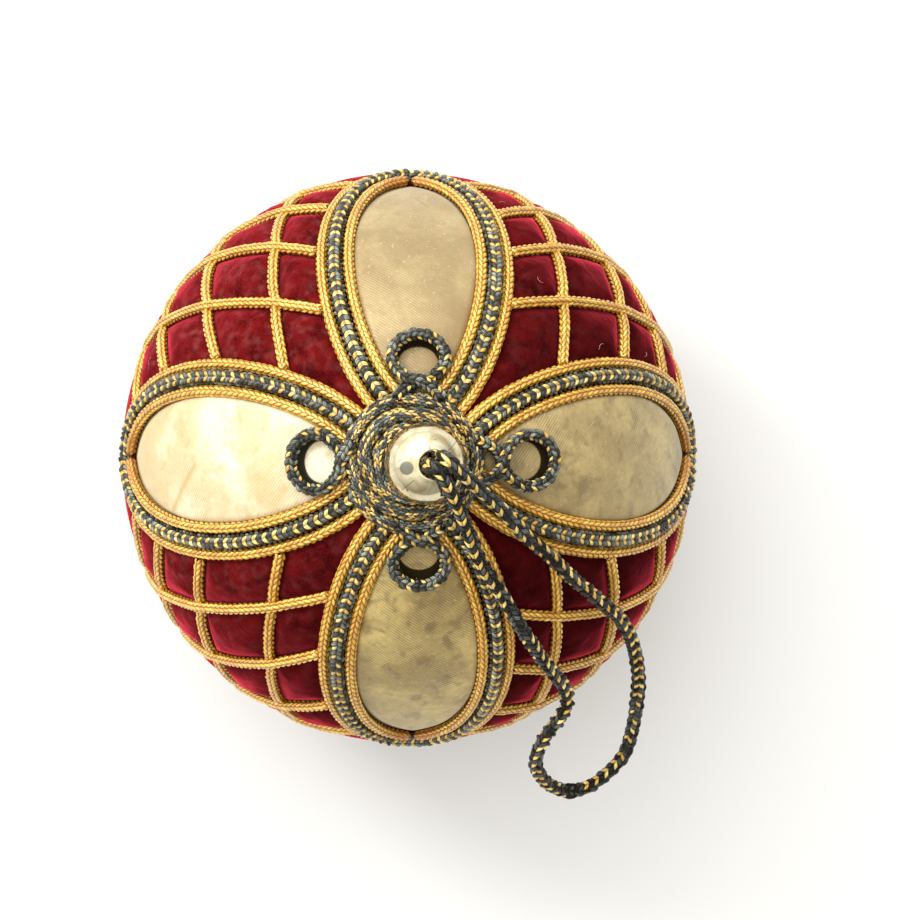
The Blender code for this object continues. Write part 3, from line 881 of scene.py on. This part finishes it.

# %% [markdown]
# ## The satin petals
# Each petal is one piece of champagne satin over a thin pad. Its edges go in under the inner gold
# cord, and it is domed a little between them. The mesh is a grid bent to the petal's outline, with its
# UV map in metres, so that the fine slanting ribs of the cloth run straight over it. Inside each small
# ring, the satin beside the ring's far side is painted nearly black as a painted shadow of the ring.

# %% Satin petals
SATIN_EDGE = 0.03850
SATIN_DOME = 0.00115
TIP_START = 50
TIP_GAP = 0.0005
TIP_SLOPE = 0.0060
SATIN_ROOT = 11.5
SATIN_ROWS, SATIN_COLUMNS = 96, 44
ROW_EASE = 1.25  # more rows toward the round tip
NARROWEST = 0.25
inner_tree = spot_tree(np.vstack(inner_lines))


def satin_grid(tip, half_width, heading, phase):
    """A petal's cloth on the ball, its flat length and width, and its flat area."""
    inset = CORD_STEP / METRES_PER_DEGREE
    end = tip - inset
    bm = bmesh.new()
    bm.loops.layers.uv.new("UVMap")
    bmesh.ops.create_grid(bm, x_segments=SATIN_ROWS, y_segments=SATIN_COLUMNS, size=1, calc_uvs=True)
    flat = {}
    for vert in bm.verts:
        share = (vert.co.x + 1) / 2
        side = vert.co.y
        along = SATIN_ROOT + (end - SATIN_ROOT) * (1 - (1 - share) ** ROW_EASE)
        s = (along - PETAL_ROOT) / (tip - PETAL_ROOT)
        bulge = max(4 * s * (1 - s), 1e-4)
        edge = half_width * bulge ** ROUND_TIP
        turn = ROUND_TIP * edge * 4 * (1 - 2 * s) / bulge / (tip - PETAL_ROOT)
        width = max(edge - inset * math.hypot(1, turn), NARROWEST)
        above = Vector(centre) + GOLD_LEVEL * Vector(direction(along, side * width, heading))
        tipward = limited((along - TIP_START) / (end - TIP_START))
        from_cord = inner_tree.find(above)[2] - GOLD_D / 2 - TIP_GAP * tipward ** 2
        rise = limited((from_cord + 0.0005) / (0.0010 + TIP_SLOPE * tipward ** 2))
        dome = rise * (2 - rise) * min(1, 0.35 + width / 14)
        wave = (0.00005 * math.sin(9 * share + 3 * side + phase)
                + 0.00003 * math.sin(23 * share - 5 * side))
        radius = SATIN_EDGE + SATIN_DOME * dome + wave * dome
        vert.co = radius * Vector(direction(along, side * width, heading)) + Vector(centre)
        flat[vert.index] = (along * METRES_PER_DEGREE, side * width * METRES_PER_DEGREE)
    bm.verts.index_update()
    uv = bm.loops.layers.uv[0]
    for face in bm.faces:
        for loop in face.loops:
            loop[uv].uv = flat[loop.vert.index]
    bmesh.ops.recalc_face_normals(bm, faces=bm.faces[:])
    if bm.faces[:][0].normal.dot(bm.faces[:][0].calc_center_median() - Vector(centre)) < 0:
        bmesh.ops.reverse_faces(bm, faces=bm.faces[:])
    area = sum(face.calc_area() for face in bm.faces)
    length = (end - SATIN_ROOT) * METRES_PER_DEGREE
    width = 2 * (half_width - inset) * METRES_PER_DEGREE
    return bm, length, width, area


UNDER_RING = 0.956  # the satin lies lower than the rings, so the same angles are shorter on it
# how far each painted ring shadow is moved toward the ring's far side
RING_SHADE = {"east": 0.11, "north": 0.11, "west": 0.13, "south": 0.27}
SATIN_THICK = 0.00025


def finish_satin(name, pale, deep, stain_colour, stain, patches, creases):
    """Ribbed satin with clouds, stains, lint, creases, and a painted shadow as a dark crescent in its ring.
    """
    finish, tree, shader = new_finish(f"{name} satin", Roughness=0.46, Metallic=0.18,
                                      Sheen_Roughness=0.5, Sheen_Tint=(1.0, 0.93, 0.74, 1))
    uv = piece_uv(tree)
    spot = object_spot(tree)
    ribs = wire(tree, "ShaderNodeTexWave", {"Vector": wire(tree, "ShaderNodeMapping", {
        "Vector": uv, "Rotation": (0, 0, math.radians(38))}).outputs[0], "Scale": 900.0,
        "Distortion": 0.6, "Detail": 1.0, "Detail Scale": 1.5}, wave_type="BANDS").outputs[1]
    cloud = speckle(tree, spot, 0.0075, 5.0, 0.4)
    lint = eased(tree, speckle(tree, spot, 0.00035, 3.0), 0.60, 0.75)
    spots = eased(tree, speckle(tree, spot, 0.0019, 6.0, 0.3), 0.50, 0.72)
    colour = mixed(tree, eased(tree, cloud, 0.38, 0.62), pale, deep)
    colour = mixed(tree, times(tree, spots, stain), colour, stain_colour)
    fine = eased(tree, speckle(tree, spot, 0.0007, 5.0), 0.36, 0.66, 0.0, 0.24)
    colour = mixed(tree, fine, colour, stain_colour)
    ribs_there = eased(tree, speckle(tree, spot, 0.0060, 3.0), 0.40, 0.60, 0.25, 1.0)
    ribs_seen = times(tree, ribs, times(tree, ribs_there, 0.6))
    colour = mixed(tree, ribs_seen, colour, stain_colour)
    colour = mixed(tree, times(tree, lint, 0.22), colour, (0.90, 0.84, 0.64, 1))
    height = calc(tree, "ADD", times(tree, ribs, 0.5), times(tree, cloud, 0.5))
    for start, end, width, depth in patches + creases:
        line = use(tree, line_group, {"Spot": uv, "Start": (*start, 0), "End": (*end, 0),
                                      "Width": width})
        colour = mixed(tree, times(tree, line[0], depth), colour, stain_colour)
        if width < 0.001:
            height = calc(tree, "SUBTRACT", height, line[0])
    # painted shadow: a nearly black crescent inside each ring by its far side, with less sheen and gloss
    # there
    far, long, wide = (UNDER_RING * size for size in RINGS[name])
    turns = vector(tree, "MULTIPLY", vector(tree, "SUBTRACT", uv, (far, 0, 0)), (1 / long, 1 / wide, 0))
    in_ring = calc(tree, "LESS_THAN", vector(tree, "LENGTH", turns), 1.1)
    shade = vector(tree, "LENGTH", vector(tree, "ADD", turns, (RING_SHADE[name], 0, 0)))
    painted_ring_shadow = times(tree, eased(tree, shade, 0.73, 0.81), in_ring)
    colour = mixed(tree, times(tree, painted_ring_shadow, 0.96), colour, (0.006, 0.004, 0.002, 1))
    outside_ring_shadow = calc(tree, "SUBTRACT", 1.0, painted_ring_shadow)
    tree.links.new(times(tree, outside_ring_shadow, 0.25), shader.inputs["Sheen Weight"])
    tree.links.new(times(tree, outside_ring_shadow, 0.5), shader.inputs["Specular IOR Level"])
    dress(tree, shader, colour, height, 0.35, 0.00012)
    return finish


# The petals' colours are partly painted light: the west one is much paler for its brightly lit side, and
# the south and east ones are paler than the north one to make up for their weaker light.
SATIN_LOOKS = {
    # petal: pale, deep and stain colour, how stained, then soft patches and thin creases as start,
    # end, width and depth, in metres along and across the petal
    "east": ((0.46, 0.350, 0.145, 1), (0.32, 0.235, 0.092, 1), (0.13, 0.088, 0.032, 1), 0.50,
             (((0.053, -0.006), (0.050, 0.006), 0.009, 0.5),), ()),
    "north": ((0.33, 0.248, 0.108, 1), (0.25, 0.183, 0.075, 1), (0.19, 0.118, 0.042, 1), 0.30,
              (((0.014, -0.004), (0.020, -0.006), 0.006, 0.6),),
              (((0.044, 0.000), (0.041, -0.002), 0.0003, 0.6),)),
    "west": ((0.72, 0.66, 0.50, 1), (0.58, 0.49, 0.31, 1), (0.38, 0.275, 0.10, 1), 0.50,
             (((0.0520, -0.0080), (0.0520, 0.0080), 0.022, 1.0),
              ((0.020, 0.005), (0.028, 0.008), 0.006, 0.5)),
             (((0.0327, 0.0009), (0.0402, 0.0092), 0.0007, 0.9),
              ((0.0262, -0.0085), (0.0250, -0.0052), 0.0005, 0.5))),
    "south": ((0.51, 0.385, 0.135, 1), (0.34, 0.245, 0.080, 1), (0.11, 0.070, 0.022, 1), 0.60,
              (((0.050, -0.006), (0.050, 0.007), 0.008, 0.5),
               ((0.030, -0.008), (0.044, -0.008), 0.004, 0.5)), ()),
}
for k, (name, heading, tip, half_width) in enumerate(PETALS):
    bm, length, width, area = satin_grid(tip, half_width, heading, 1.7 * k)
    finish = finish_satin(name, *SATIN_LOOKS[name])
    petal = finish_piece(f"satin_petal_{name}", bm, finish, [f"{name}_satin"])
    cloth = petal.modifiers.new("thickness", "SOLIDIFY")
    cloth.thickness = SATIN_THICK
    cloth.offset = -1
    print(f"{name} satin: {width * 1000:.1f} x {length * 1000:.1f} mm, {area * 1e6:.0f} square mm")

# %% [markdown]
# ## The bead
# The bead is a polished ball of pale metal with a countersunk hole, and it leans a little. Its profile
# is drawn once and spun round its axis. The plating shows fine scratches, small dark pits, and a dull
# grey round spot.

# %% Bead
BEAD_R = 0.0053
BEAD_Z = 0.0439
BEAD_X = 0.0007
BEAD_LEAN = 10
BEAD_FLATTEN = 0.90
HOLE_PROFILE = [(0.00128, 0.0020), (0.00128, 0.00400), (0.00142, 0.00425), (0.00165, 0.00440),
                (0.00190, 0.00452), (0.00212, 0.00446)]
profile = HOLE_PROFILE + [(BEAD_R * math.sin(turn), BEAD_FLATTEN * BEAD_R * math.cos(turn))
                          for turn in np.radians(np.linspace(26, 150, 27))]
bm = bmesh.new()
dots = [bm.verts.new((r, 0, z)) for r, z in profile]
edges = [bm.edges.new(pair) for pair in zip(dots, dots[1:] + dots[:1])]
bmesh.ops.spin(bm, geom=dots + edges, cent=(0, 0, 0), axis=(0, 0, 1), angle=2 * math.pi, steps=72,
               use_merge=True)
bmesh.ops.remove_doubles(bm, verts=bm.verts[:], dist=SAME_SPOT)
bmesh.ops.recalc_face_normals(bm, faces=bm.faces[:])
lean = Matrix.Translation(Vector(centre) + Vector((BEAD_X, 0, BEAD_Z))) @ Matrix.Rotation(
    math.radians(BEAD_LEAN), 4, "Y")
bmesh.ops.transform(bm, matrix=lean, verts=bm.verts[:])
print("bead:", len(bm.faces), "faces")


def finish_bead():
    """Polished metal with smears, pits, three scratches and a dull grey round spot."""
    finish, tree, shader = new_finish("pale bead metal", Metallic=1.0)
    spot = object_spot(tree)
    flat_spot = wire(tree, "ShaderNodeMapping", {"Vector": spot, "Location": (-BEAD_X, 0, 0),
                                                 "Scale": (1, 1, 0)}).outputs[0]
    smear = speckle(tree, spot, 0.0021, 4.0, 0.8)
    pits = eased(tree, speckle(tree, spot, 0.00042, 2.0), 0.66, 0.74)
    marks = None
    for start, end, width in (((-0.0032, -0.0033), (-0.0017, -0.0021), 0.00007),
                              ((0.0024, 0.0014), (0.0041, 0.0031), 0.00007),
                              ((-0.0024, -0.0034), (-0.0026, -0.0029), 0.00010)):
        line = use(tree, line_group, {"Spot": flat_spot, "Start": (*start, 0), "End": (*end, 0),
                                      "Width": width})[0]
        marks = line if marks is None else calc(tree, "MAXIMUM", marks, line)
    # a dull grey round spot, darker and rougher than the rest
    from_grey_spot = vector(tree, "DISTANCE", flat_spot, (-0.0026, -0.0005, 0))
    grey_spot = eased(tree, from_grey_spot, 0.00078, 0.00095, 1.0, 0.0)
    colour = mixed(tree, eased(tree, smear, 0.3, 0.7), (0.69, 0.63, 0.44, 1), (0.47, 0.40, 0.23, 1))
    colour = mixed(tree, times(tree, grey_spot, 0.85), colour, (0.11, 0.11, 0.10, 1))
    dark = calc(tree, "MAXIMUM", times(tree, pits, 0.6), marks)
    colour = mixed(tree, dark, colour, (0.06, 0.05, 0.035, 1))
    rough = calc(tree, "ADD", eased(tree, smear, 0.3, 0.75, 0.08, 0.20), times(tree, grey_spot, 0.3))
    height = calc(tree, "SUBTRACT", times(tree, smear, 0.15), dark)
    dress(tree, shader, colour, height, 0.3, 0.0001)
    tree.links.new(rough, shader.inputs["Roughness"])
    return finish


finish_piece("polished_bead", bm, finish_bead(), ["metal_bead"])

# %% [markdown]
# ## Lint
# Old velvet catches lint. A few dozen pale fibres lie on it, each a thin bent tube, thrown on by a
# fixed seed so that they fall the same way each time.

# %% Lint fibres
FIBRES = 70
FIBRE_STEPS = 5
FIBRE_LENGTH = 0.0006, 0.0016
FIBRE_RADIUS = 0.000010, 0.000018
CLEAR, ARCH = 0.00004, 0.00016  # a fibre's ends lie this far over the pile, and its middle more
FROM_CORD = 0.0016
LOWEST = -0.6
rng = random.Random(29)
bm = bmesh.new()
for k in range(FIBRES):
    while True:
        out = Vector((rng.gauss(0, 1), rng.gauss(0, 1), rng.gauss(0, 1))).normalized()
        if out.z > LOWEST and cord_tree.find(Vector(centre) + GOLD_LEVEL * out)[2] > FROM_CORD:
            break
    side = out.orthogonal().normalized()
    side.rotate(Matrix.Rotation(rng.uniform(0, 2 * math.pi), 3, out))
    bend = out.cross(side) * rng.uniform(-1, 1)
    size = rng.uniform(*FIBRE_LENGTH)
    thick = rng.uniform(*FIBRE_RADIUS)
    ring = bmesh.ops.create_circle(bm, segments=4, radius=thick, cap_ends=False)["verts"]
    spots = []
    for step in range(FIBRE_STEPS + 1):
        t = step / FIBRE_STEPS
        height = PILE_HIGH + CLEAR + ARCH * (1 - (2 * t - 1) ** 2)
        spots.append(out * height + side * size * (t - 0.5) + bend * size * (t - 0.5) ** 2 * 2)
    facing = side.to_track_quat("Z", "Y").to_matrix().to_4x4()
    bmesh.ops.transform(bm, matrix=Matrix.Translation(spots[0] + Vector(centre)) @ facing, verts=ring)
    loop_edges = list({edge for vert in ring for edge in vert.link_edges})
    for before, after in zip(spots, spots[1:]):
        grown = bmesh.ops.extrude_edge_only(bm, edges=loop_edges)["geom"]
        verts = [g for g in grown if isinstance(g, bmesh.types.BMVert)]
        loop_edges = [g for g in grown if isinstance(g, bmesh.types.BMEdge)]
        bmesh.ops.translate(bm, verts=verts, vec=after - before)
close_ends(bm)
print("lint:", len(bm.faces), "faces")


def finish_lint():
    """Dull fibres, pale to pink."""
    finish, tree, shader = new_finish("pale lint", Roughness=0.9)
    spot = object_spot(tree)
    colour = mixed(tree, speckle(tree, spot, 0.004, 1.0), (0.75, 0.62, 0.58, 1), (0.52, 0.30, 0.30, 1))
    tree.links.new(colour, shader.inputs["Base Color"])
    return finish


finish_piece("lint_fibres", bm, finish_lint())

# %% [markdown]
# ## Floor and light
# The photograph was taken on a white table under wide soft light from the upper left. The floor is a
# large pale plane, and it isn't part of the ornament. A big area light at the back and a small one at
# the left give the direction, and the world is a pale sky that is brighter on the same side.

# %% Floor and light
bm = bmesh.new()
bmesh.ops.create_grid(bm, x_segments=8, y_segments=8, size=1.5)
floor_mesh = bpy.data.meshes.new("floor")
bm.to_mesh(floor_mesh)
bm.free()
floor = put_in_scene("floor", floor_mesh)
floor_finish, floor_tree, floor_shader = new_finish("pale floor", Roughness=0.9, Specular_IOR_Level=0.1)
floor_colour = mixed(floor_tree, speckle(floor_tree, object_spot(floor_tree), 0.3, 1.0),
                     (0.67, 0.67, 0.665, 1), (0.65, 0.65, 0.645, 1))
floor_tree.links.new(floor_colour, floor_shader.inputs["Base Color"])
floor_mesh.materials.append(floor_finish)


def area_light(name, spot, size, power, colour):
    """A square soft light that faces the ball."""
    light = bpy.data.lights.new(name, "AREA")
    light.size = size
    light.energy = power
    light.color = colour
    holder = put_in_scene(name, light)
    facing = (Vector(spot) - Vector(centre)).to_track_quat("Z", "Y").to_matrix().to_4x4()
    holder.matrix_world = Matrix.Translation(spot) @ facing


BRIGHT_SIDE = (-0.42, 0.50, 0.76)
SKY_GAIN, SKY_BASE = 1.58, 0.52
area_light("key light", (-0.18, 0.52, 0.52), 0.5, 2.6, (1.0, 0.98, 0.95))
area_light("left fill", (-0.42, 0.32, 0.50), 0.16, 2.4, (1.0, 0.99, 0.97))
world = bpy.data.worlds.new("studio")
world.use_nodes = True
sky = world.node_tree
open_sky = eased(sky, vector(sky, "DOT_PRODUCT", object_spot(sky), BRIGHT_SIDE), -0.3, 1.0)
sky_colour = mixed(sky, open_sky, (1.0, 0.95, 0.86, 1), (1.0, 1.0, 0.99, 1))
sky_strength = calc(sky, "ADD", times(sky, open_sky, SKY_GAIN), SKY_BASE)
sky.links.new(sky_colour, sky.nodes["Background"].inputs["Color"])
sky.links.new(sky_strength, sky.nodes["Background"].inputs["Strength"])
bpy.context.scene.world = world
bpy.context.scene.view_settings.view_transform = "Standard"
print("lights and floor ready")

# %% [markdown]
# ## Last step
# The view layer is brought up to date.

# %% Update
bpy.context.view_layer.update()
